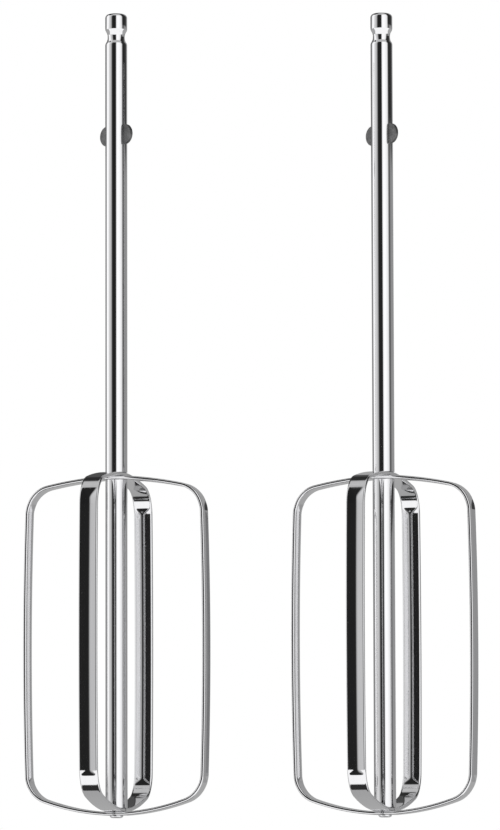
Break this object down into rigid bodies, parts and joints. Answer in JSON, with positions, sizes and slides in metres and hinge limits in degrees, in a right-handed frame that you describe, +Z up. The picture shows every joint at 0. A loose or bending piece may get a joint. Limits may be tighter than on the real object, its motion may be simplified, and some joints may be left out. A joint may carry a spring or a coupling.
{
  "type": "pair of hand mixer beaters",
  "caption": "Polished steel strip beaters for a hand mixer, each a slim lugged drive shaft with creased bands crossed at a right angle around a spacer sleeve.",
  "frame": {"origin": "on the left shaft's axis, level with the top of its driving lugs", "axes": "+Z up the shafts to the drive end, +X from the left beater to the right one, +Y to the back"},
  "size_m": [0.1239, 0.0514, 0.2202],
  "materials": {
    "shaft_steel": "polished and chrome plated, coined lug faces matt",
    "band_steel": "polished and chrome plated strip",
    "sleeve_steel": "polished and chrome plated tube"
  },
  "bodies": {
    "left_beater": {"left_shaft": "shaft_steel", "left_main_band": "band_steel", "left_cross_band": "band_steel", "left_spacer_sleeve": "sleeve_steel"},
    "right_beater": {"right_shaft": "shaft_steel", "right_main_band": "band_steel", "right_cross_band": "band_steel", "right_spacer_sleeve": "sleeve_steel"}
  },
  "joints": [
    {"name": "right_beater_spin", "type": "hinge", "parent": "left_beater", "child": "right_beater", "pos_m": [0.0728, 0, 0], "axis": [0, 0, 1], "continuous": true}
  ]
}
